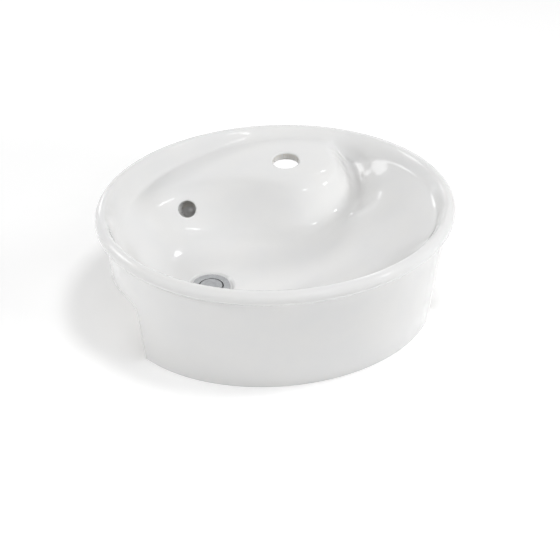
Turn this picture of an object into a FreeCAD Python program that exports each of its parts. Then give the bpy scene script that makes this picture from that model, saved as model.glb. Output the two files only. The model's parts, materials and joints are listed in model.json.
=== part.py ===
import FreeCAD, Part
import math
import os

# Oval semi-recessed washbasin in glazed china, with a push-open waste.
# Frame: +X to the user's right, -Y to the user, +Z up.
# The origin is under the middle of the rim, on the plane of the apron's base.  Millimetres.
Vec = FreeCAD.Vector
UP = Vec(0, 0, 1)

# China: outline
rim_half_width = 230.0          # middle to the outside of the rim, along X
rim_half_depth = 206.0          # middle to the outside of the rim, along Y
height = 158.0                  # apron base to rim crest
lip_radius = 10.0               # half-round outside of the rim
rim_slope_run = 15.0            # crest of the rim to its foot inside the basin
base_half_width = 209.0         # apron at its base, along X
base_half_depth = 176.0         # apron at its base, along Y
apron_wall = 11.0
bowl_wall = 11.0
steep_limit = 2.2               # most the wall's height grows on a slope, in walls
lump_bite = 5.5                 # how far cast-on lumps reach into the wall
lip_shoulder = 1.25             # lip to the first ring of the apron
roof_strip = 16.0               # flat roof between the apron and the bowl's underside
base_trim = 14.0                # cast length below the base that is ground off flat

# China: counter notch behind the front apron
notch_front = -72.0             # Y of the apron's rear ends
seat_height = 85.0              # underside that sits on the counter
notch_corner_radius = 14.0

# China: bowl
drain_x = -93.0
drain_y = -23.0
floor_height = 60.0             # bowl floor beside the waste
floor_radius = 28.0             # level floor round the waste
rim_foot_height = 128.0         # foot of the rim, middle of the basin
rim_foot_tilt = 0.06            # rise of that foot towards the right, per mm
bowl_curve = 2.2                # power of the bowl's profile
bowl_curve_swing = 0.1          # steeper to the left, flatter to the right

# China: tap ledge that sweeps along the rear and ends in the round nose
deck_height = 147.0             # ledge at the rear of the tap
deck_rise = 0.1                 # climb along X, per mm, left of the tap
deck_level_from = 55.0          # X where the climb ends
deck_level_blend = 25.0
deck_fall = 0.08                # drainage fall to the front, per mm
deck_rear_line = 173.0
ledge_front = 85.0              # front edge of the ledge at its deepest
ledge_front_x = 57.0
ledge_sweep = 44.0              # how far the edge runs back to the left
ledge_sweep_length = 76.0
nose_sweep_length = 95.0        # the same to the right, round the nose
ledge_slope_run = 54.0          # plan length of the wall below the front edge
nose_right = 117.0
nose_slope_run = 25.0           # plan length of the nose's right wall
nose_slope_extra = 12.0         # longer slope in front of the nose
nose_softness = 2.6             # higher is a sharper nose
valley_depth = 20.0             # hollow along the foot of the nose's right wall
valley_spread = 0.8             # its half width, in slope runs
valley_from_x = 40.0            # it starts from here to the right
valley_from_y = 15.0            # and from here to the rear
valley_run = 70.0

# China: holes
tap_x = 49.0
tap_y = 123.5
tap_hole_radius = 18.0
tap_flat_radius = 24.0          # flat under the deck for the tap's clamp
tap_flat_depth = 9.0            # deck at the hole to that flat
tap_hole_round = 2.0
tap_arch_left = 32.0            # opening in the rear wall behind the tap, for its hoses
tap_arch_right = 100.0
tap_arch_top = 117.0
tap_arch_radius = 14.0
tap_arch_from = 152.0           # Y where it starts, behind the flat
overflow_x = -95.0
overflow_y = 100.0
overflow_radius = 11.0
overflow_turn = 25.0            # degrees from +Y towards +X
overflow_pitch = 32.0           # degrees downwards
overflow_depth = 27.0           # mouth to the top of the duct
overflow_lump_start = 5.0       # mouth to the start of the lump round it
overflow_lump_edge = 2.0        # lump's wall round the hole at its start
overflow_round = 2.0
duct_radius = 7.5
duct_wall = 6.0
duct_knee_y = 72.0
duct_fall = 3.0                 # knee of the duct above its end
recess_radius = 31.0
recess_depth = 2.5
recess_slope = 4.0              # plan width of the recess's sloping edge
recess_round = 2.0
boss_radius = 38.0
boss_height = 27.0              # recess floor to the flat under the boss
drain_hole_radius = 20.5

# Waste: turned body
flange_radius = 24.5
flange_thick = 2.5
flange_round = 0.8
opening_radius = 15.8
thread_radius = 18.95
thread_pitch = 2.309
thread_depth = 1.4
thread_end_gap = 1.0            # thread below the nut
tail_radius = 16.0
tail_bore_radius = 14.4
tail_length = 13.5
window_width = 12.0
window_height = 11.0
window_count = 3
window_turn = 90.0              # degrees, first window faces the duct
window_drop = 4.2               # flange underside to the windows
spider_rib = 3.0
spider_turn = 30.0              # degrees, ribs stand between the windows
spider_bite = 1.0               # how far ribs run into hub and tube
spider_height = 5.0
spider_drop = 27.0              # flange underside to the top of the spider
hub_radius = 10.0

# Waste: seals and nut
flange_seal_thick = 1.2
flange_seal_inset = 0.8
clamp_clear = 0.25              # radial room of seals and washers on the thread
lower_seal_thick = 4.0
lower_seal_top_radius = 26.0
clamp_radius = 28.0
lower_seal_edge = 1.0           # straight part of its outside
slip_washer_thick = 1.5
back_nut_thick = 8.0
back_nut_flats = 50.0
nut_clear = 0.05

# Stopper and its cartridge
stroke = 8.0
stop_clear = 0.3                # collar to the barrel's shoulder when open
cap_gap = 1.2                   # ring gap between stopper and flange
cap_edge = 3.5
cap_round = 0.7
cap_hub_radius = 12.4
cap_lip_radius = 13.4
cap_lip_thick = 1.2
stopper_seal_thick = 3.0
stopper_seal_round = 1.0
seal_gap = 0.3                  # rubber to the opening
stem_radius = 3.0
stem_clear = 0.1
stem_in_cap = 5.0
stem_in_plunger = 6.0
stem_nut_flats = 10.0
stem_nut_thick = 3.0
plunger_radius = 4.0
plunger_clear = 0.1
collar_thick = 2.7
collar_radius = 5.3
collar_drop = 20.3              # plunger top to collar top
tail_pin_radius = 2.3
tail_pin_length = 8.0
barrel_radius = 7.0
barrel_clear = 0.1
barrel_bore_radius = 5.6
barrel_head_radius = 9.2
barrel_head_thick = 3.0
barrel_neck = 6.0
barrel_roof = 4.0
barrel_length = 21.0            # below its head
ring_wire = 0.9                 # plunger O-ring section radius
cartridge_nut_flats = 19.0
cartridge_nut_thick = 3.5
plug_thick = 1.5
plug_spigot = 2.0
plug_pin_radius = 1.6
plug_pin_length = 3.0
rotor_length = 4.5
rotor_notch_width = 2.0
rotor_notch_depth = 1.8
rotor_notch_start = 1.5         # rotor base to the notches
rotor_notches = 4
spring_wire = 0.8
spring_radius = 4.2
spring_turns = 5
spring_end_gap = 0.05

# Fineness of the cast surface
stations_round = 120
rings_bowl = 24
rings_slope = 7
lip_step = 15.0                 # degrees between rings of the lip
wall_rings = 8
rings_under = 20
wall_ring_power = 1.5           # rings close up towards the lip and the ceiling
slope_step = 0.5
same = 1e-6                     # lengths that count as equal
skin_slack = 0.8                # how far a hole's edge may lie from its cylinder
edge_points = 5                 # points tested on an edge

# Derived levels
drain = Vec(drain_x, drain_y, 0)
crest_half_width = rim_half_width - lip_radius
crest_half_depth = rim_half_depth - lip_radius
foot_half_width = crest_half_width - rim_slope_run
foot_half_depth = crest_half_depth - rim_slope_run
wall_top = height - 2 * lip_radius
recess_floor = floor_height - recess_depth
boss_base = recess_floor - boss_height
flange_under = recess_floor + flange_seal_thick
flange_top = flange_under + flange_thick
lower_seal_base = boss_base - lower_seal_thick
washer_base = lower_seal_base - slip_washer_thick
nut_base = washer_base - back_nut_thick
thread_base = nut_base - thread_end_gap
tail_base = thread_base - tail_length
spider_top = flange_under - spider_drop
spider_base = spider_top - spider_height
cap_under = flange_top - cap_edge
cap_base = cap_under - stopper_seal_thick - cap_lip_thick
plunger_top = cap_base - stem_nut_thick
collar_top = plunger_top - collar_drop
collar_base = collar_top - collar_thick
barrel_shoulder = collar_top + stroke + stop_clear
barrel_top = max(barrel_shoulder + barrel_roof, spider_top + barrel_head_thick + barrel_neck)
barrel_base = spider_top - barrel_length
plug_top = barrel_base + plug_spigot
rotor_base = collar_base - rotor_length


def ease(u):
    """Smooth step from 0 to 1."""
    u = min(max(u, 0.0), 1.0)
    return u ** 3 * (10 - 15 * u + 6 * u * u)


def soft_min(a, b, sharpness):
    return -math.log(math.exp(-sharpness * a) + math.exp(-sharpness * b)) / sharpness


def soft_ramp(u, blend):
    """Zero for negative u and u for positive u, with a rounded start."""
    return blend * math.log(1 + math.exp(u / blend))


def bowl_height(x, y):
    """Bowl alone: rises from the waste to the foot of the rim in every direction."""
    dx = x - drain_x
    dy = y - drain_y
    reach = math.hypot(dx, dy)
    if reach < same:
        return floor_height
    ux = dx / reach
    uy = dy / reach
    a = (ux / foot_half_width) ** 2 + (uy / foot_half_depth) ** 2
    b = drain_x * ux / foot_half_width ** 2 + drain_y * uy / foot_half_depth ** 2
    c = (drain_x / foot_half_width) ** 2 + (drain_y / foot_half_depth) ** 2 - 1
    full = (-b + math.sqrt(b * b - a * c)) / a
    side = rim_foot_height + rim_foot_tilt * (drain_x + full * ux)
    power = bowl_curve - bowl_curve_swing * ux
    climb = max(0.0, reach - floor_radius) / (full - floor_radius)
    return floor_height + (side - floor_height) * climb ** power


def deck_level(x, y):
    """Ledge and tap deck: climbs from the left, then runs level."""
    climb = deck_rise * soft_ramp(deck_level_from - x, deck_level_blend)
    return deck_height - climb - deck_fall * (deck_rear_line - y)


def inside_height(x, y):
    """Bowl with the ledge and its nose, without the rim."""
    off = (x - ledge_front_x) / (ledge_sweep_length if x < ledge_front_x else nose_sweep_length)
    edge = ledge_front + ledge_sweep * (1 - math.exp(-off * off))
    behind = 1 + (y - edge) / (ledge_slope_run + nose_slope_extra * math.exp(-off * off))
    inside = 1 + (nose_right - x) / nose_slope_run
    onto = soft_min(behind, inside, nose_softness)
    place = ease((x - valley_from_x) / valley_run) * ease((y - valley_from_y) / valley_run)
    low = bowl_height(x, y) - valley_depth * math.exp(-(onto / valley_spread) ** 2) * place
    return low + ease(onto) * (deck_level(x, y) - low)


def slopes(x, y):
    across = (inside_height(x + slope_step, y) - inside_height(x - slope_step, y)) / (2 * slope_step)
    along = (inside_height(x, y + slope_step) - inside_height(x, y - slope_step)) / (2 * slope_step)
    return across, along


def under_height(x, y):
    """Underside of the bowl, one wall below the inside, measured square to it."""
    across, along = slopes(x, y)
    steep = math.sqrt(1 + across * across + along * along)
    return inside_height(x, y) - bowl_wall * min(steep, steep_limit)


def apron_at(z, inset):
    """Half axes of the apron at a height, moved inwards."""
    share = z / wall_top
    a = base_half_width + (crest_half_width - base_half_width) * share
    b = base_half_depth + (crest_half_depth - base_half_depth) * share
    return a - inset, b - inset


def skin_line(turn):
    """One section of the cast skin, from the waste over the rim and back underneath."""
    c = math.cos(turn)
    s = math.sin(turn)
    points = [Vec(drain_x, drain_y, floor_height)]
    foot = Vec(foot_half_width * c, foot_half_depth * s, 0)
    crest = Vec(crest_half_width * c, crest_half_depth * s, 0)
    for k in range(1, rings_bowl + 1):
        p = drain + (foot - drain) * (k / rings_bowl)
        points.append(Vec(p.x, p.y, inside_height(p.x, p.y)))
    for k in range(1, rings_slope + 1):
        t = k / rings_slope
        p = foot + (crest - foot) * t
        low = inside_height(p.x, p.y)
        points.append(Vec(p.x, p.y, low + (height - low) * t * t * (3 - 2 * t)))
    lip_rings = round(180 / lip_step)
    for k in range(1, lip_rings + 1):
        angle = math.pi / 2 - math.pi * k / lip_rings
        out = lip_radius * math.cos(angle)
        z = height - lip_radius + lip_radius * math.sin(angle)
        points.append(Vec((crest_half_width + out) * c, (crest_half_depth + out) * s, z))
    for k in range(wall_rings + 1):
        share = (k / wall_rings) ** wall_ring_power
        z = wall_top - lip_shoulder - (wall_top + base_trim) * share
        a, b = apron_at(z, 0)
        points.append(Vec(a * c, b * s, z))
    a, b = apron_at(-base_trim, apron_wall)
    points.append(Vec(a * c, b * s, points[-1].z))
    a, b = apron_at(wall_top, apron_wall + roof_strip)
    ceiling = under_height(a * c, b * s)
    for k in range(1, wall_rings + 1):
        z = -base_trim + (ceiling + base_trim) * (1 - (1 - k / wall_rings) ** wall_ring_power)
        a, b = apron_at(z, apron_wall)
        points.append(Vec(a * c, b * s, z))
    edge = Vec(a * c, b * s, 0)
    for k in range(1, rings_under):
        p = edge + (drain - edge) * (k / rings_under)
        points.append(Vec(p.x, p.y, min(under_height(p.x, p.y), ceiling)))
    points.append(Vec(drain_x, drain_y, floor_height - bowl_wall))
    return points


def cast_skin():
    """Whole casting as one closed smooth skin."""
    poles = [skin_line(2 * math.pi * k / stations_round) for k in range(stations_round)]
    around = list(range(stations_round + 1))
    along = list(range(len(poles[0]) - 2))
    ends = [4] + [1] * (len(along) - 2) + [4]
    skin = Part.BSplineSurface()
    skin.buildFromPolesMultsKnots(poles, [1] * len(around), ends, around, along, True, False, 3, 3)
    stops = [0]
    lip_rings = round(180 / lip_step)
    for rings in (rings_bowl - 1, rings_slope, lip_rings, wall_rings + 1, wall_rings + 1, rings_under - 1):
        stops.append(stops[-1] + rings)
    shell = Part.makeShell([skin.toShape(0, stations_round, low, high) for low, high in zip(stops, stops[1:])])
    shell.sewShape()
    solid = Part.Solid(shell.Shells[0])
    if solid.Volume < 0:
        solid.reverse()
    return solid


def oval(half_axes, z):
    """Closed wire with the given half axes at a height."""
    a, b = half_axes
    stretch = FreeCAD.Matrix(a, 0, 0, 0, 0, b, 0, 0, 0, 0, 1, z, 0, 0, 0, 1)
    return Part.Wire(Part.makeCircle(1.0).transformGeometry(stretch))


def notch_tool():
    """Space behind the front apron and under the counter seat, round the bowl."""
    far = 2 * rim_half_depth
    low = -2 * base_trim
    r = notch_corner_radius
    corner = Vec(0, notch_front + r, seat_height - r)
    middle = corner + Vec(0, -r * math.cos(math.pi / 4), r * math.sin(math.pi / 4))
    a = Vec(0, notch_front, low)
    b = Vec(0, notch_front, corner.z)
    c = Vec(0, corner.y, seat_height)
    d = Vec(0, far, seat_height)
    e = Vec(0, far, low)
    edges = [Part.LineSegment(a, b), Part.Arc(b, middle, c), Part.LineSegment(c, d),
             Part.LineSegment(d, e), Part.LineSegment(e, a)]
    face = Part.Face(Part.Wire([edge.toShape() for edge in edges]))
    span = 2 * rim_half_width
    block = face.extrude(Vec(2 * span, 0, 0))
    block.translate(Vec(-span, 0, 0))
    inset = apron_wall + lump_bite
    keep = Part.makeLoft([oval(apron_at(z, inset), z) for z in (2 * low, height)], True, True)
    return block.cut(keep)


def tap_arch():
    """Arched opening in the rear wall, up from the counter seat."""
    low = seat_height - tap_arch_radius
    block = Part.makeBox(tap_arch_right - tap_arch_left, rim_half_depth, tap_arch_top - low,
                         Vec(tap_arch_left, tap_arch_from, low))
    corners = []
    for edge in block.Edges:
        along = edge.tangentAt(edge.FirstParameter)
        if abs(along.y) > 1 - same and edge.BoundBox.ZMin > tap_arch_top - same:
            corners.append(edge)
    return block.makeFillet(tap_arch_radius, corners)


def rod(radius, start, end):
    along = end - start
    return Part.makeCylinder(radius, along.Length, start, along)


def overflow_line():
    """Mouth of the overflow, top of its duct, knee and end in the waste boss."""
    mouth = Vec(overflow_x, overflow_y, inside_height(overflow_x, overflow_y))
    turn = math.radians(overflow_turn)
    pitch = math.radians(overflow_pitch)
    inwards = Vec(math.cos(pitch) * math.sin(turn), math.cos(pitch) * math.cos(turn), -math.sin(pitch))
    top = mouth + inwards * overflow_depth
    end = Vec(drain_x, drain_y + drain_hole_radius / 2, boss_base + duct_radius + duct_wall)
    knee = Vec(drain_x, duct_knee_y, end.z + duct_fall)
    return mouth, inwards, top, knee, end


def rounded(solid, amount, on_edge):
    """Rounds the curved edges whose points all pass the test."""
    edges = []
    for edge in solid.Edges:
        if edge.Degenerated or isinstance(edge.Curve, Part.Line):
            continue
        first, last = edge.ParameterRange
        points = [edge.valueAt(first + (last - first) * k / (edge_points - 1)) for k in range(edge_points)]
        if all(on_edge(p) for p in points):
            edges.append(edge)
    return solid.makeFillet(amount, edges)


def from_axis(p, x, y):
    return math.hypot(p.x - x, p.y - y)


def ceramic_basin():
    mouth, inwards, top, knee, end = overflow_line()
    outer = duct_radius + duct_wall
    mouth_outer = overflow_radius + duct_wall
    skin = cast_skin()
    additions = [
        Part.makeCylinder(boss_radius, floor_height - bowl_wall + lump_bite - boss_base, drain + UP * boss_base),
        Part.makeCone(overflow_radius + overflow_lump_edge, mouth_outer, overflow_depth - overflow_lump_start,
                      mouth + inwards * overflow_lump_start, inwards),
        Part.makeSphere(mouth_outer, top),
        rod(outer, top, knee),
        Part.makeSphere(outer, knee),
        rod(outer, knee, end),
    ]
    flat_level = inside_height(tap_x, tap_y) - tap_flat_depth
    body = skin.fuse(additions[0].fuse(additions[1:]))
    far = 4 * rim_half_width
    below = Part.makeBox(far, far, far, Vec(-far / 2, -far / 2, -far))
    cuts = [
        below,
        notch_tool(),
        tap_arch(),
        Part.makeCylinder(tap_flat_radius, bowl_wall, Vec(tap_x, tap_y, flat_level - bowl_wall)),
        Part.makeCylinder(tap_hole_radius, height, Vec(tap_x, tap_y, flat_level - height / 2)),
        Part.makeCone(recess_radius - recess_slope, recess_radius + recess_slope, 2 * recess_depth,
                      drain + UP * recess_floor),
        Part.makeCylinder(drain_hole_radius, height, drain + UP * (boss_base - height / 4)),
        rod(overflow_radius, mouth - inwards * overflow_depth, top),
        Part.makeSphere(overflow_radius, top),
        rod(duct_radius, top, knee),
        Part.makeSphere(duct_radius, knee),
        rod(duct_radius, knee, end),
    ]
    china = body.cut(cuts)

    def on_tap_hole(p):
        return p.z > flat_level + same and abs(from_axis(p, tap_x, tap_y) - tap_hole_radius) < skin_slack

    def on_overflow(p):
        along = (p - mouth).dot(inwards)
        off = (p - mouth - inwards * along).Length
        return along < overflow_depth / 2 and abs(off - overflow_radius) < skin_slack

    def on_recess(p):
        level = recess_floor + same < p.z < floor_height + recess_depth
        return level and from_axis(p, drain_x, drain_y) < boss_radius

    china = rounded(china, tap_hole_round, on_tap_hole)
    china = rounded(china, overflow_round, on_overflow)
    return rounded(china, recess_round, on_recess)


def turned(outline):
    """Solid of revolution about the waste's axis; outline points are (radius, height)."""
    points = [Vec(r, 0, z) for r, z in outline]
    face = Part.Face(Part.makePolygon(points + points[:1]))
    solid = face.revolve(Vec(0, 0, 0), UP, 360)
    solid.translate(drain)
    return solid


def ring(inner, outer, z0, z1):
    return turned([(inner, z0), (outer, z0), (outer, z1), (inner, z1)])


def hex_nut(flats, bore, z0, z1):
    corner = flats / math.sqrt(3)
    turns = [math.pi * k / 3 for k in range(7)]
    points = [Vec(corner * math.cos(turn), corner * math.sin(turn), z0) for turn in turns]
    prism = Part.Face(Part.makePolygon(points)).extrude(UP * (z1 - z0))
    prism.translate(drain)
    chamfer = corner - flats / 2
    turned_blank = turned([(bore, z0), (flats / 2, z0), (corner, z0 + chamfer / 2), (corner, z1 - chamfer / 2),
                           (flats / 2, z1), (bore, z1)])
    return prism.common(turned_blank)


def waste_body():
    outline = [(opening_radius, flange_top), (flange_radius, flange_top), (flange_radius, flange_under),
               (thread_radius, flange_under)]
    z = washer_base
    while z - thread_pitch > thread_base:
        outline += [(thread_radius, z), (thread_radius - thread_depth, z - thread_pitch / 2)]
        z -= thread_pitch
    outline += [(thread_radius, z), (thread_radius, thread_base), (tail_radius, thread_base),
                (tail_radius, tail_base), (tail_bore_radius, tail_base), (tail_bore_radius, thread_base),
                (opening_radius, thread_base + opening_radius - tail_bore_radius)]
    tube = rounded(turned(outline), flange_round, lambda p: abs(p.z - flange_top) < same)
    spider = [ring(barrel_radius + barrel_clear, hub_radius, spider_base, spider_top)]
    rib_start = hub_radius - spider_bite
    rib_length = opening_radius + spider_bite - rib_start
    for k in range(window_count):
        rib = Part.makeBox(rib_length, spider_rib, spider_height, Vec(rib_start, -spider_rib / 2, spider_base))
        rib.rotate(Vec(0, 0, 0), UP, spider_turn + 360 * k / window_count)
        rib.translate(drain)
        spider.append(rib)
    window_top = flange_under - window_drop
    windows = []
    for k in range(window_count):
        window = Part.makeBox(thread_radius * 2, window_width, window_height,
                              Vec(0, -window_width / 2, window_top - window_height))
        window.rotate(Vec(0, 0, 0), UP, window_turn + 360 * k / window_count)
        window.translate(drain)
        windows.append(window)
    return tube.fuse(spider).cut(windows).removeSplitter()


def flange_seal():
    return ring(thread_radius + clamp_clear, flange_radius - flange_seal_inset, recess_floor, flange_under)


def lower_seal():
    inner = thread_radius + clamp_clear
    return turned([(inner, lower_seal_base), (clamp_radius, lower_seal_base),
                   (clamp_radius, lower_seal_base + lower_seal_edge), (lower_seal_top_radius, boss_base),
                   (inner, boss_base)])


def slip_washer():
    return ring(thread_radius + clamp_clear, clamp_radius, washer_base, lower_seal_base)


def back_nut():
    return hex_nut(back_nut_flats, thread_radius + nut_clear, nut_base, washer_base)


def cartridge_barrel():
    head_top = spider_top + barrel_head_thick
    mouth = plunger_radius + plunger_clear
    outline = [(barrel_bore_radius, barrel_base), (barrel_radius, barrel_base), (barrel_radius, spider_top),
               (barrel_head_radius, spider_top), (barrel_head_radius, head_top), (barrel_radius, head_top),
               (barrel_radius, barrel_top), (mouth, barrel_top), (mouth, barrel_shoulder),
               (barrel_bore_radius, barrel_shoulder)]
    groove_mid = (barrel_shoulder + barrel_top) / 2
    groove = ring(mouth - plunger_clear, mouth + 2 * ring_wire, groove_mid - ring_wire, groove_mid + ring_wire)
    return turned(outline).cut(groove)


def plunger_ring():
    mouth = plunger_radius + plunger_clear
    centre = drain + UP * ((barrel_shoulder + barrel_top) / 2)
    return Part.makeTorus(mouth + ring_wire, ring_wire, centre, UP)


def cartridge_nut():
    return hex_nut(cartridge_nut_flats, barrel_radius + nut_clear, spider_base - cartridge_nut_thick, spider_base)


def barrel_plug():
    return turned([(0, barrel_base - plug_thick), (barrel_radius, barrel_base - plug_thick),
                   (barrel_radius, barrel_base), (barrel_bore_radius - barrel_clear, barrel_base),
                   (barrel_bore_radius - barrel_clear, plug_top), (plug_pin_radius, plug_top),
                   (plug_pin_radius, plug_top + plug_pin_length), (0, plug_top + plug_pin_length)])


def latch_rotor():
    inner = tail_pin_radius + barrel_clear
    body = ring(inner, collar_radius, rotor_base, collar_base)
    notches = []
    for k in range(rotor_notches):
        notch = Part.makeBox(rotor_notch_depth, rotor_notch_width, rotor_length,
                             Vec(collar_radius - rotor_notch_depth, -rotor_notch_width / 2,
                                 rotor_base + rotor_notch_start))
        notch.rotate(Vec(0, 0, 0), UP, 360 * k / rotor_notches)
        notch.translate(drain)
        notches.append(notch)
    return body.cut(notches)


def plunger():
    hole = stem_radius + stem_clear
    return turned([(0, collar_base - tail_pin_length), (tail_pin_radius, collar_base - tail_pin_length),
                   (tail_pin_radius, collar_base), (collar_radius, collar_base), (collar_radius, collar_top),
                   (plunger_radius, collar_top), (plunger_radius, plunger_top), (hole, plunger_top),
                   (hole, plunger_top - stem_in_plunger), (0, plunger_top - stem_in_plunger)])


def stopper_stem():
    return rod(stem_radius, drain + UP * (plunger_top - stem_in_plunger), drain + UP * (cap_base + stem_in_cap))


def stem_nut():
    return hex_nut(stem_nut_flats, stem_radius + nut_clear, plunger_top, cap_base)


def stopper_cap():
    edge = opening_radius - cap_gap
    hole = stem_radius + stem_clear
    blank = turned([(0, flange_top), (edge, flange_top), (edge, cap_under), (cap_hub_radius, cap_under),
                    (cap_hub_radius, cap_base + cap_lip_thick), (cap_lip_radius, cap_base + cap_lip_thick),
                    (cap_lip_radius, cap_base), (hole, cap_base), (hole, cap_base + stem_in_cap),
                    (0, cap_base + stem_in_cap)])
    return rounded(blank, cap_round, lambda p: abs(p.z - flange_top) < same)


def stopper_seal():
    outer = opening_radius - seal_gap
    base = cap_base + cap_lip_thick
    blank = ring(cap_hub_radius, outer, base, cap_under)
    return rounded(blank, stopper_seal_round, lambda p: abs(from_axis(p, drain_x, drain_y) - outer) < same)


def cartridge_spring():
    """Coil between the plug and the rotor, one unbroken wire."""
    low = plug_top + spring_wire / 2 + spring_end_gap
    high = rotor_base - spring_wire / 2 - spring_end_gap
    quarters = 4 * spring_turns

    def point(k):
        turn = math.pi / 2 * k
        return drain + Vec(spring_radius * math.cos(turn), spring_radius * math.sin(turn),
                           low + (high - low) * k / quarters)

    arcs = [Part.Arc(point(k), point(k + 0.5), point(k + 1)).toShape() for k in range(quarters)]
    start = arcs[0].tangentAt(arcs[0].FirstParameter)
    section = Part.Wire([Part.Circle(point(0), start, spring_wire / 2).toShape()])
    print("spring, least gap between turns", round((high - low) / spring_turns - spring_wire, 2))
    return Part.Wire(arcs).makePipeShell([section], True, False)


pieces = [ceramic_basin, waste_body, flange_seal, lower_seal, slip_washer, back_nut, cartridge_barrel,
          plunger_ring, cartridge_nut, barrel_plug, latch_rotor, plunger, stopper_stem, stem_nut, stopper_cap,
          stopper_seal, cartridge_spring]

os.makedirs("parts", exist_ok=True)
for piece in pieces:
    shape = piece()
    box = shape.BoundBox
    print(piece.__name__, len(shape.Solids), "solid", shape.isValid(), round(shape.Volume), "mm3",
          [round(v, 1) for v in (box.XMin, box.XMax, box.YMin, box.YMax, box.ZMin, box.ZMax)])
    shape.exportStep("parts/" + piece.__name__ + ".step")
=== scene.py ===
# %% [markdown]
# # A semi-recessed washbasin, from bare solids to glazed china
# The solids of this washbasin come from a CAD model: one china casting, and a push-open waste
# made of sixteen small pieces of brass, chrome, rubber, plastic and steel. Each solid already
# has its real size and place, in metres, so nothing is fitted by eye here. The lesson gives
# every piece its finish, lights the basin as in a plain studio, and sets a camera that looks
# down into the bowl.

# %% Load the solids
import json
import math
import bpy
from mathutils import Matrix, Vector
from mathutils.kdtree import KDTree

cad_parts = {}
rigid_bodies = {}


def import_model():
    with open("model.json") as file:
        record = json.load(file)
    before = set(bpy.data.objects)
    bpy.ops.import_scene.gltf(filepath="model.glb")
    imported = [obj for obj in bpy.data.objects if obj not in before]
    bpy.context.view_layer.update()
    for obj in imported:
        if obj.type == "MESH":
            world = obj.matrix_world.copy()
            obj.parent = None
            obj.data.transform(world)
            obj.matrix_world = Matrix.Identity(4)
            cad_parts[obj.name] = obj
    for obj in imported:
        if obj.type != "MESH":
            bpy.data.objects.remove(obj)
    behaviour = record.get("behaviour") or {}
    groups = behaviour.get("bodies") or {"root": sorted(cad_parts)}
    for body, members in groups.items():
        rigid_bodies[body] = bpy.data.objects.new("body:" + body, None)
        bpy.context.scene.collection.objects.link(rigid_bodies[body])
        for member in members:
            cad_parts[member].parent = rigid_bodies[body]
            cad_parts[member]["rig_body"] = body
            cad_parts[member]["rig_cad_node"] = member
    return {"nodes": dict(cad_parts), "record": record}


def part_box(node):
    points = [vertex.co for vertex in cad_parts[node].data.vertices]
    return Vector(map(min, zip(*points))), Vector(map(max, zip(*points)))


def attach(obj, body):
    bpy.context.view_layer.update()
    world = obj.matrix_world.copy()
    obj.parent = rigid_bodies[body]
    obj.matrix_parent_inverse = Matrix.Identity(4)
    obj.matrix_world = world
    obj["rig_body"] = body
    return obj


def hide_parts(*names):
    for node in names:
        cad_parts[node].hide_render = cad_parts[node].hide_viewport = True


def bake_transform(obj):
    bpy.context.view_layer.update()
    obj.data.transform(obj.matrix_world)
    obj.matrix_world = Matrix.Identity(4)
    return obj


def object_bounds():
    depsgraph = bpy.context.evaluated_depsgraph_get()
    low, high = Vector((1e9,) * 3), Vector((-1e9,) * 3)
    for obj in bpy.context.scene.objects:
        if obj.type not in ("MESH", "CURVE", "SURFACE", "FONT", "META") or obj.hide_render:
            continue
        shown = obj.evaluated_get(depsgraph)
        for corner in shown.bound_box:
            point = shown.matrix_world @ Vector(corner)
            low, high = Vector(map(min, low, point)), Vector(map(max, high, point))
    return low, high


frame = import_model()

cad_low, cad_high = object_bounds()
bpy.ops.object.select_all(action="DESELECT")
print("solids:", len(frame["nodes"]))
print("size in mm:", [round(1000 * side) for side in cad_high - cad_low])

# %% [markdown]
# ## Small helpers for node materials
# A material in Blender is a graph. The same few things happen in each one below: a new material
# is made, nodes are added with a few values, sockets are linked, and a ramp runs from one tone
# to another. Short helpers keep the later cells readable. A value that is the same all over a
# surface is written on the shader's own socket, and only what changes over the surface is
# linked.

# %% Helpers for nodes
def add_node(tree, kind, values=None, **settings):
    node = tree.nodes.new("ShaderNode" + kind)
    for label, setting in settings.items():
        setattr(node, label, setting)
    for socket, value in (values or {}).items():
        node.inputs[socket].default_value = value
    return node


def link(tree, source, output, target, socket):
    tree.links.new(source.outputs[output], target.inputs[socket])


def tone_ramp(tree, first, last, start=0.0, end=1.0):
    ramp = add_node(tree, "ValToRGB")
    low, high = ramp.color_ramp.elements
    low.position, high.position = start, end
    low.color, high.color = (*first, 1.0), (*last, 1.0)
    return ramp


def new_material(name, shader_values):
    material = bpy.data.materials.new(name)
    material.use_nodes = True
    shader = material.node_tree.nodes["Principled BSDF"]
    for socket, value in shader_values.items():
        shader.inputs[socket].default_value = value
    return material, material.node_tree, shader


print("helpers ready")

# %% [markdown]
# ## Uneven surfaces
# No real surface is the same all over. Glaze runs a little thicker in one place, moulded plastic
# has a fine grain, rubber has a bloom. All of these are a slow pattern with a fine one on top,
# so one node group gives both, and each material chooses how large the patches and the grain
# are. The patterns read Object coordinates, which are metres here, so a size is written as the
# real length of one patch.

# %% Node group: uneven surface
def new_group(name, inputs, outputs):
    group = bpy.data.node_groups.new(name, "ShaderNodeTree")
    for label, value in inputs.items():
        socket = group.interface.new_socket(
            label, in_out="INPUT", socket_type="NodeSocketFloat")
        socket.default_value = value
    for label in outputs:
        group.interface.new_socket(label, in_out="OUTPUT", socket_type="NodeSocketFloat")
    return group, group.nodes.new("NodeGroupInput"), group.nodes.new("NodeGroupOutput")


def noise_of_size(tree, place, size_from, size_label, detail):
    scale = add_node(tree, "Math", {0: 1.0}, operation="DIVIDE")
    link(tree, size_from, size_label, scale, 1)
    noise = add_node(tree, "TexNoise", {"Detail": detail, "Roughness": 0.55})
    link(tree, place, "Object", noise, "Vector")
    link(tree, scale, 0, noise, "Scale")
    return noise


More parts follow.
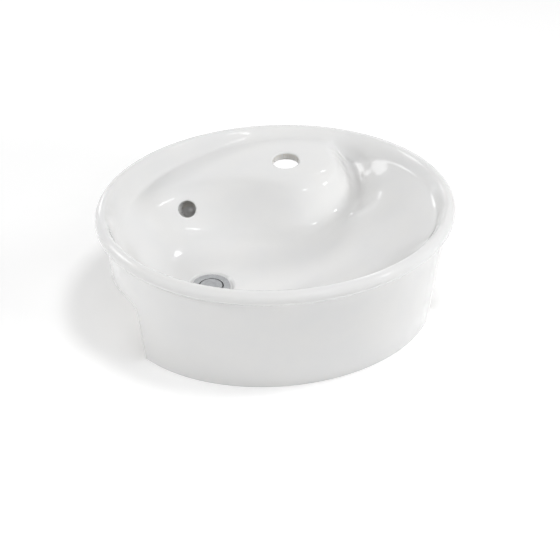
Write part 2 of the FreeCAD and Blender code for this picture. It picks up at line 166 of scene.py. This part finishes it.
uneven, given, result = new_group(
    "uneven_surface", {"Patch size": 0.05, "Grain size": 0.001}, ["Patches", "Grain"])
place = add_node(uneven, "TexCoord")
patches = noise_of_size(uneven, place, given, "Patch size", detail=2.0)
grain = noise_of_size(uneven, place, given, "Grain size", detail=3.0)
link(uneven, patches, "Fac", result, "Patches")
link(uneven, grain, "Fac", result, "Grain")
print("group", uneven.name, "has", len(uneven.nodes), "nodes")

# %% [markdown]
# ## Marks of the lathe
# The waste, its nuts and its plunger are turned on a lathe, so their marks are rings about the
# axis of the drain. A ring pattern could be painted in a UV map, but the axis is known, so the
# distance from it is worked out from the coordinates. Height is added to that distance: the
# same marks then run across the flat faces and round the sides.

# %% Node group: turned marks
drain_low, drain_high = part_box("waste_body")
drain = (drain_low + drain_high) / 2

turned, given, result = new_group("turned_marks", {"Pitch": 0.0004}, ["Rings"])
place = add_node(turned, "TexCoord")
centred = add_node(turned, "Mapping", {"Location": (-drain.x, -drain.y, 0.0)})
split = add_node(turned, "SeparateXYZ")
flat = add_node(turned, "CombineXYZ")
radius = add_node(turned, "VectorMath", operation="LENGTH")
path = add_node(turned, "Math", operation="ADD")
turns = add_node(turned, "Math", operation="DIVIDE")
uneven_turns = add_node(
    turned, "TexNoise", {"Scale": 1.0, "Detail": 4.0, "Roughness": 0.7}, noise_dimensions="1D")
link(turned, place, "Object", centred, "Vector")
link(turned, centred, "Vector", split, "Vector")
link(turned, split, "X", flat, "X")
link(turned, split, "Y", flat, "Y")
link(turned, flat, "Vector", radius, 0)
link(turned, radius, "Value", path, 0)
link(turned, split, "Z", path, 1)
link(turned, path, 0, turns, 0)
link(turned, given, "Pitch", turns, 1)
link(turned, turns, 0, uneven_turns, "W")
link(turned, uneven_turns, "Fac", result, "Rings")
print("turned marks run about x, y in mm:", round(1000 * drain.x, 1), round(1000 * drain.y, 1))

# %% [markdown]
# ## A merged copy of a solid
# The solids arrive as loose triangles: each one has its own three corners, and none shares an
# edge with its neighbour. That can't be stretched or shaded as one skin, and the solids
# themselves must stay as they are. So a piece that needs a whole skin is duplicated, taken off
# its body, and merged by distance. Edges sharper than the crease angle stay crisp.

# %% Helper: merged copy
merge_distance = 1e-6
crease_angle = math.radians(35)


def merged_copy(node, name):
    source = frame["nodes"][node]
    bpy.ops.object.select_all(action="DESELECT")
    source.select_set(True)
    bpy.context.view_layer.objects.active = source
    bpy.ops.object.duplicate()
    bpy.ops.object.parent_clear(type="CLEAR_KEEP_TRANSFORM")
    piece = bpy.context.object
    piece.name = piece.data.name = name
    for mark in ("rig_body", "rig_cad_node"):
        del piece[mark]
    bpy.ops.object.mode_set(mode="EDIT")
    bpy.ops.mesh.select_all(action="SELECT")
    bpy.ops.mesh.customdata_custom_splitnormals_clear()
    bpy.ops.mesh.remove_doubles(threshold=merge_distance)
    bpy.ops.object.mode_set(mode="OBJECT")
    bpy.ops.object.shade_smooth_by_angle(angle=crease_angle)
    return piece


print("points closer than", merge_distance, "m become one")

# %% [markdown]
# ## Exact shading normals
# Merging loses something. The solid's corners carry the normals of the true curved surface,
# while a merged skin averages its flat triangles, and on glossy china that frays every
# reflection near an outline. So each face of the copy looks up its twin in the solid, the one
# with the nearest centre, and takes the normals of the twin's corners.

# %% Helper: exact normals
def point_of(mesh, corner):
    return mesh.vertices[mesh.loops[corner].vertex_index].co


def take_normals(piece, node):
    exact, mesh = frame["nodes"][node].data, piece.data
    twins = KDTree(len(exact.polygons))
    for face in exact.polygons:
        twins.insert(face.center, face.index)
    twins.balance()
    normals = [None] * len(mesh.loops)
    for face in mesh.polygons:
        _, twin_index, _ = twins.find(face.center)
        corners = exact.polygons[twin_index].loop_indices
        for corner in face.loop_indices:
            place = point_of(mesh, corner)
            same = min(corners, key=lambda other: (point_of(exact, other) - place).length)
            normals[corner] = exact.corner_normals[same].vector
    mesh.normals_split_custom_set(normals)
    print(piece.name, "took", len(normals), "corner normals from", node)


# %% [markdown]
# ## The china casting
# The basin is one casting of white china: bowl, tap ledge, rolled rim, apron and the hidden
# duct of the overflow are a single piece. It could be modelled again by hand, but the solid
# already has the right form, so its merged copy stands for it and keeps every measure.

# %% China casting
china_body = merged_copy("ceramic_basin", "china_body")
take_normals(china_body, "ceramic_basin")
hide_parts("ceramic_basin")
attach(china_body, "basin")
casting = china_body.data
print("china casting:", len(casting.vertices), "points,", len(casting.polygons), "faces")

# %% [markdown]
# ## Where the glaze is
# The glaze isn't everywhere on the real basin. The foot and the seat that rests on the counter
# are ground flat and left bare. The hidden underside is only washed with glaze, and the
# overflow hole is glazed whole as far as it can be seen. This could be painted by hand, but
# which face is which follows from where it lies and which way it looks, so that is worked out
# for each face and stored on the mesh as an attribute.

# %% Mark where the glaze is
mounts = {mount["name"]: mount for mount in frame["record"]["mounts"]}
foot_height, seat_height = 0.0, mounts["counter_seat"]["pos_m"][2]
ground_band, flat_down = 0.0004, -0.999
roof_slope, roof_reach = -0.5, 0.93
flank_slope, flank_reach = 0.0, 0.82
lining_slope, lining_height = 0.25, 0.115
overflow_mouth, overflow_reach = Vector((-0.095, 0.100, 0.108)), 0.032
half_width = (cad_high.x - cad_low.x) / 2
half_depth = (cad_high.y - cad_low.y) / 2


def finish_of(face):
    centre, normal = face.center, face.normal
    off_ground = min(abs(centre.z - foot_height), abs(centre.z - seat_height))
    if off_ground < ground_band and normal.z < flat_down:
        return "ground"
    reach = math.hypot(centre.x / half_width, centre.y / half_depth)
    inward = normal.x * centre.x + normal.y * centre.y < 0
    roof = normal.z < roof_slope and reach < roof_reach
    flank = normal.z < flank_slope and reach < flank_reach
    lining = inward and normal.z < lining_slope and centre.z < lining_height
    in_overflow = (centre - overflow_mouth).length <= overflow_reach
    return "washed" if (roof or flank or lining) and not in_overflow else "glazed"


glaze_amount = {"ground": 0.0, "washed": 0.35, "glazed": 1.0}
counts = dict.fromkeys(glaze_amount, 0)
glaze = casting.attributes.new("glaze", "FLOAT", "FACE")
for face in casting.polygons:
    kind = finish_of(face)
    glaze.data[face.index].value = glaze_amount[kind]
    counts[kind] += 1
print("faces by finish:", counts)

# %% [markdown]
# ## Colour of the glazed china
# Fired glaze is glass on a white body, and it is a trace cooler where it is thick. Where the
# attribute says that there is no glaze, the clay shows, cream and a little spotted. Two
# materials on two sets of faces could do this, but then a washed face could only be one or the
# other. One material with a Mix node takes any share between the two.

# %% Material: colour of the glazed china
china, tree, shader = new_material(
    "glazed_china", {"IOR": 1.5, "Coat Roughness": 0.03, "Coat IOR": 1.5})
surface = add_node(tree, "Group", {"Patch size": 0.06, "Grain size": 0.009}, node_tree=uneven)
covered = add_node(tree, "Attribute", attribute_name="glaze")

thickness = tone_ramp(tree, (0.84, 0.838, 0.83), (0.818, 0.82, 0.82), start=0.35, end=0.65)
clay = tone_ramp(tree, (0.66, 0.62, 0.55), (0.74, 0.71, 0.65))
# A Mix node has sockets of the same name for each kind of value. These are its colour sockets.
mix_first, mix_second, mix_result = 6, 7, 2
colour = add_node(tree, "Mix", data_type="RGBA")
link(tree, surface, "Patches", thickness, "Fac")
link(tree, surface, "Grain", clay, "Fac")
link(tree, covered, "Fac", colour, "Factor")
link(tree, clay, "Color", colour, mix_first)
link(tree, thickness, "Color", colour, mix_second)
link(tree, colour, mix_result, shader, "Base Color")
print(china.name, "mixes clay and glaze by the attribute", covered.attribute_name)

# %% [markdown]
# ## Gloss and edges of the glazed china
# Glaze could be made of one glossy layer, but two say more: the body underneath has a soft
# sheen, and the coat on top is sharp and clear. Without glaze the coat goes and the body turns
# rough. The glaze pools by a few hundredths of a millimetre, which ripples the soft sheen very
# slightly. Ground edges on china are never sharp, so a Bevel node rounds the shading of every
# edge by about a millimetre and a half.

# %% Material: gloss and edges of the glazed china
bare_rough, glazed_rough, smear_rough = 0.85, 0.16, 0.05
edge_round = 0.0015
ripple_depth = 0.00004

gloss = add_node(tree, "MapRange", {"To Min": bare_rough, "To Max": glazed_rough})
smear = add_node(tree, "Math", {1: smear_rough}, operation="MULTIPLY")
rough = add_node(tree, "Math", operation="ADD")
link(tree, covered, "Fac", gloss, "Value")
link(tree, surface, "Patches", smear, 0)
link(tree, gloss, "Result", rough, 0)
link(tree, smear, 0, rough, 1)
link(tree, rough, 0, shader, "Roughness")
link(tree, covered, "Fac", shader, "Coat Weight")

edge = add_node(tree, "Bevel", {"Radius": edge_round}, samples=6)
ripple = add_node(tree, "Bump", {"Strength": 0.15, "Distance": ripple_depth})
link(tree, surface, "Grain", ripple, "Height")
link(tree, edge, "Normal", ripple, "Normal")
link(tree, ripple, "Normal", shader, "Normal")


def dress(piece, material):
    piece.data.materials.clear()
    piece.data.materials.append(material)
    print(piece.name, "is finished with", material.name)


dress(china_body, china)

# %% [markdown]
# ## Chrome on the waste
# The flange and the stopper are brass with polished chrome plate. Chrome has almost no colour of
# its own and takes everything from what it mirrors, so what makes it look real is its
# roughness: the faint rings that polishing leaves about the axis, and a dull film where water
# has dried. The rings come from the turned marks, the film from the uneven surface.

# %% Material: chrome
film_patch = 0.008


def metal(name, dark, light, pitch, least_rough, most_rough, mark_depth):
    made, tree, shader = new_material(name, {"Metallic": 1.0})
    marks = add_node(tree, "Group", {"Pitch": pitch}, node_tree=turned)
    film = add_node(tree, "Group", {"Patch size": film_patch}, node_tree=uneven)
    tone = tone_ramp(tree, dark, light, start=0.3, end=0.7)
    both = add_node(tree, "Math", operation="MULTIPLY")
    rough = add_node(tree, "MapRange", {
        "From Min": 0.1, "From Max": 0.4, "To Min": least_rough, "To Max": most_rough})
    dents = add_node(tree, "Bump", {"Strength": 0.4, "Distance": mark_depth})
    link(tree, film, "Patches", tone, "Fac")
    link(tree, tone, "Color", shader, "Base Color")
    link(tree, marks, "Rings", both, 0)
    link(tree, film, "Patches", both, 1)
    link(tree, both, 0, rough, "Value")
    link(tree, rough, "Result", shader, "Roughness")
    link(tree, marks, "Rings", dents, "Height")
    link(tree, dents, "Normal", shader, "Normal")
    return made


def dress_solids(material, *nodes):
    for node in nodes:
        dress(frame["nodes"][node], material)


chrome = metal(
    "polished_chrome", dark=(0.38, 0.39, 0.40), light=(0.46, 0.47, 0.48),
    pitch=0.0005, least_rough=0.10, most_rough=0.24, mark_depth=0.000004)
dress_solids(chrome, "waste_body", "stopper_cap")

# %% [markdown]
# ## Brass and steel of the cartridge
# Under the stopper are pieces that nobody polishes: turned brass nuts and a brass plunger, a
# steel stud and a steel spring. They are the same kind of surface as the chrome, with coarser
# marks and more roughness, so the same recipe makes them with other values. Brass also dulls to
# a browner tone in patches.

# %% Materials: brass and steel
brass = metal(
    "turned_brass", dark=(0.47, 0.31, 0.12), light=(0.68, 0.49, 0.22),
    pitch=0.0008, least_rough=0.22, most_rough=0.42, mark_depth=0.00001)
dress_solids(brass, "back_nut", "cartridge_nut", "plunger", "stem_nut")
steel = metal(
    "drawn_steel", dark=(0.42, 0.42, 0.43), light=(0.58, 0.58, 0.58),
    pitch=0.0006, least_rough=0.20, most_rough=0.36, mark_depth=0.000006)
dress_solids(steel, "stopper_stem")

# %% [markdown]
# ## The spring
# The spring sits on the plug of the cartridge and pushes the latch up. Its lower end stays with
# the basin while its upper end follows the stopper, so one rigid body can't carry it. A merged
# copy stands for the solid, with its points set where they lie and no body as its parent.

# %% The spring
coil_spring = merged_copy("cartridge_spring", "coil_spring")
take_normals(coil_spring, "cartridge_spring")
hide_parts("cartridge_spring")
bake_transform(coil_spring)
dress(coil_spring, steel)

# %% [markdown]
# ## Moulded pieces
# Rubber and plastic pieces carry the fine grain of their mould and a slow change of tone. A plain
# colour would make them look like toys, and a picture of real rubber would need a UV map on each
# piece. One recipe from the uneven surface does for all of them: it takes the two tones, the
# size of the grain and the range of roughness.

# %% Recipe for moulded pieces
skin_patch = 0.012


def moulded(name, dark, light, grain, least_rough, most_rough, grain_depth):
    made, tree, shader = new_material(name, {"IOR": 1.5})
    skin = add_node(
        tree, "Group", {"Patch size": skin_patch, "Grain size": grain}, node_tree=uneven)
    tone = tone_ramp(tree, dark, light, start=0.3, end=0.7)
    rough = add_node(tree, "MapRange", {
        "From Min": 0.3, "From Max": 0.7, "To Min": least_rough, "To Max": most_rough})
    texture = add_node(tree, "Bump", {"Strength": 0.5, "Distance": grain_depth})
    link(tree, skin, "Patches", tone, "Fac")
    link(tree, tone, "Color", shader, "Base Color")
    link(tree, skin, "Grain", rough, "Value")
    link(tree, rough, "Result", shader, "Roughness")
    link(tree, skin, "Grain", texture, "Height")
    link(tree, texture, "Normal", shader, "Normal")
    return made


print("moulded pieces change tone every", 1000 * skin_patch, "mm")

# %% [markdown]
# ## Rubber and plastics
# The seals are black rubber with a dull, open grain. The slip washer is natural nylon, the barrel
# and plug are pale plastic, and the latch is a blue one so that a fitter can tell it apart.
# Plastic is smoother than rubber, so its roughness is lower and its grain shallower.

# %% Materials: rubber and plastics
rubber = moulded(
    "black_rubber", dark=(0.012, 0.012, 0.013), light=(0.03, 0.03, 0.031),
    grain=0.0005, least_rough=0.55, most_rough=0.75, grain_depth=0.00003)
dress_solids(rubber, "flange_seal", "lower_seal", "plunger_ring", "stopper_seal")
nylon = moulded(
    "natural_nylon", dark=(0.62, 0.59, 0.52), light=(0.72, 0.70, 0.63),
    grain=0.0008, least_rough=0.40, most_rough=0.55, grain_depth=0.00002)
dress_solids(nylon, "slip_washer")
pale_plastic = moulded(
    "pale_plastic", dark=(0.70, 0.70, 0.67), light=(0.78, 0.78, 0.75),
    grain=0.0006, least_rough=0.35, most_rough=0.48, grain_depth=0.00002)
dress_solids(pale_plastic, "cartridge_barrel", "barrel_plug")
blue_plastic = moulded(
    "blue_plastic", dark=(0.03, 0.08, 0.20), light=(0.05, 0.12, 0.27),
    grain=0.0006, least_rough=0.32, most_rough=0.46, grain_depth=0.00002)
dress_solids(blue_plastic, "latch_rotor")

# %% [markdown]
# ## Floor
# The basin stands on a plain pale floor that fades to white. For light that bounces towards the
# basin the floor is an ordinary matt surface. For the camera, and for rays that mirror or pass
# through something, a little white is added, so that the lit floor reaches white while the
# shadow beside the basin stays.

# %% Floor
floor_size = 12.0
bpy.ops.object.select_all(action="DESELECT")
bpy.ops.mesh.primitive_plane_add(size=floor_size)
floor = bpy.context.object
floor.name = "studio_floor"


def seen_rays(tree):
    rays = add_node(tree, "LightPath")
    first = add_node(tree, "Math", operation="MAXIMUM")
    seen = add_node(tree, "Math", operation="MAXIMUM")
    link(tree, rays, "Is Camera Ray", first, 0)
    link(tree, rays, "Is Glossy Ray", first, 1)
    link(tree, first, 0, seen, 0)
    link(tree, rays, "Is Transmission Ray", seen, 1)
    return seen


white = (1.0, 1.0, 1.0, 1.0)
floor_grey = (0.82, 0.82, 0.82, 1.0)
lift = 0.32
pale, tree, shader = new_material("pale_floor", {
    "Base Color": floor_grey, "Roughness": 1.0, "Specular IOR Level": 0.0,
    "Emission Color": white})
strength = add_node(tree, "Math", {1: lift}, operation="MULTIPLY")
link(tree, seen_rays(tree), 0, strength, 0)
link(tree, strength, 0, shader, "Emission Strength")
dress(floor, pale)

# %% [markdown]
# ## Studio light
# Glossy white china shows its form only by soft changes of tone and a few sharp reflections. A
# softbox, a lit rectangle of cloth, gives both. In Blender it is a rectangular area lamp. It
# could be placed by its coordinates, but a photographer thinks of where a lamp stands round the
# object and how high, so the helper takes the two angles and turns the lamp to the basin.

# %% Helper: softbox
aim = Vector((0.0, 0.0, 0.10))


def direction(azimuth, elevation):
    a, e = math.radians(azimuth), math.radians(elevation)
    return Vector((math.sin(a) * math.cos(e), -math.cos(a) * math.cos(e), math.sin(e)))


def softbox(name, azimuth, elevation, size, power, mirrored=False, distance=2.4):
    bpy.ops.object.select_all(action="DESELECT")
    towards = direction(azimuth, elevation)
    bpy.ops.object.light_add(type="AREA", location=aim + distance * towards)
    lamp = bpy.context.object
    lamp.name = name
    lamp.rotation_euler = towards.to_track_quat("Z", "Y").to_euler()
    lamp.data.shape = "RECTANGLE"
    lamp.data.size, lamp.data.size_y = size
    lamp.data.energy = power
    lamp.visible_glossy = mirrored
    print(name, "at", [round(x, 2) for x in lamp.location], power, "W")


print("lamps look at x, y, z in mm:", [round(1000 * x) for x in aim])

# %% [markdown]
# ## Broad lights
# The tones come from broad lights at several heights: one high above, and lower ones in front,
# at the right, at the left and behind. One strong lamp overhead would be simpler, but it would
# fill the hollow beside the nose of the ledge, which has to stay in shade. In the glaze these
# lights would lie as large patches, so they are hidden from glossy rays.

# %% Broad lights
softbox("right_high", azimuth=44, elevation=74, size=(0.5, 0.5), power=19.5)
softbox("front_middle", azimuth=0, elevation=36, size=(1.0, 0.4), power=6.0)
softbox("right_front", azimuth=42, elevation=20, size=(0.8, 0.25), power=16.5)
softbox("right_side", azimuth=88, elevation=28, size=(0.8, 0.25), power=11.5)
softbox("left_side", azimuth=-88, elevation=36, size=(0.8, 0.5), power=12.0)
softbox("left_low", azimuth=-72, elevation=4, size=(1.0, 0.25), power=13.5)
softbox("behind", azimuth=180, elevation=30, size=(1.0, 0.4), power=13.0)

# %% [markdown]
# ## Mirrored lamps
# The sharp reflections are what says glaze. Five small, weak lamps are left in view of glossy
# rays: two make the window patches on the shelf, two the spots on the nose and by the waste, and
# a narrow one the short streak in the bowl. Where each stands follows from the mirror law, from
# the camera to the curved china and on to the lamp.

# %% Mirrored lamps
softbox("nose_spot", azimuth=58, elevation=37, size=(0.20, 0.15), power=1.2, mirrored=True)
softbox("shelf_window", azimuth=-125, elevation=36, size=(0.80, 0.70), power=4.2, mirrored=True)
softbox("second_window", azimuth=-164, elevation=18, size=(0.40, 0.36), power=1.2, mirrored=True)
softbox("waste_spot", azimuth=143, elevation=52, size=(0.20, 0.14), power=0.6, mirrored=True)
softbox("bowl_streak", azimuth=16, elevation=48, size=(0.45, 0.10), power=1.1, mirrored=True,
        distance=2.6)

# %% [markdown]
# ## World
# The world stands for the rest of the studio. It adds almost no light of its own, so that the
# lamps alone shape the china, and it is white where the camera or a mirror sees it, so that the
# chrome has a bright room to show. Standard view keeps colours as they are written.

# %% World
fill = 0.02
world = bpy.data.worlds.new("studio_world")
bpy.context.scene.world = world
world.use_nodes = True
tree = world.node_tree
sky = tree.nodes["Background"]
sky.inputs["Color"].default_value = white
level = add_node(tree, "MapRange", {"To Min": fill, "To Max": 1.0})
link(tree, seen_rays(tree), 0, level, "Value")
link(tree, level, "Result", sky, "Strength")
bpy.context.scene.view_settings.view_transform = "Standard"
print("world fills with", fill, "and is seen as white")

# %% [markdown]
# ## Camera
# The camera stands a little to the left and looks down into the bowl, with a long lens so that
# the oval keeps its shape. A camera looks along its own minus Z, so the direction from the
# target back to the camera becomes its Z axis.

# %% Camera
target = Vector((0.0, 0.0, 0.075))
camera_distance = 1.876
back = direction(azimuth=-16, elevation=33.7)
bpy.ops.object.select_all(action="DESELECT")
bpy.ops.object.camera_add(
    location=target + camera_distance * back,
    rotation=back.to_track_quat("Z", "Y").to_euler())
camera = bpy.context.object
camera.data.sensor_width = 36.0
camera.data.lens = 92.96
camera.data.shift_x = 0.0066
camera.data.shift_y = -0.0441
bpy.context.scene.camera = camera
print("camera at", [round(x, 3) for x in camera.location])
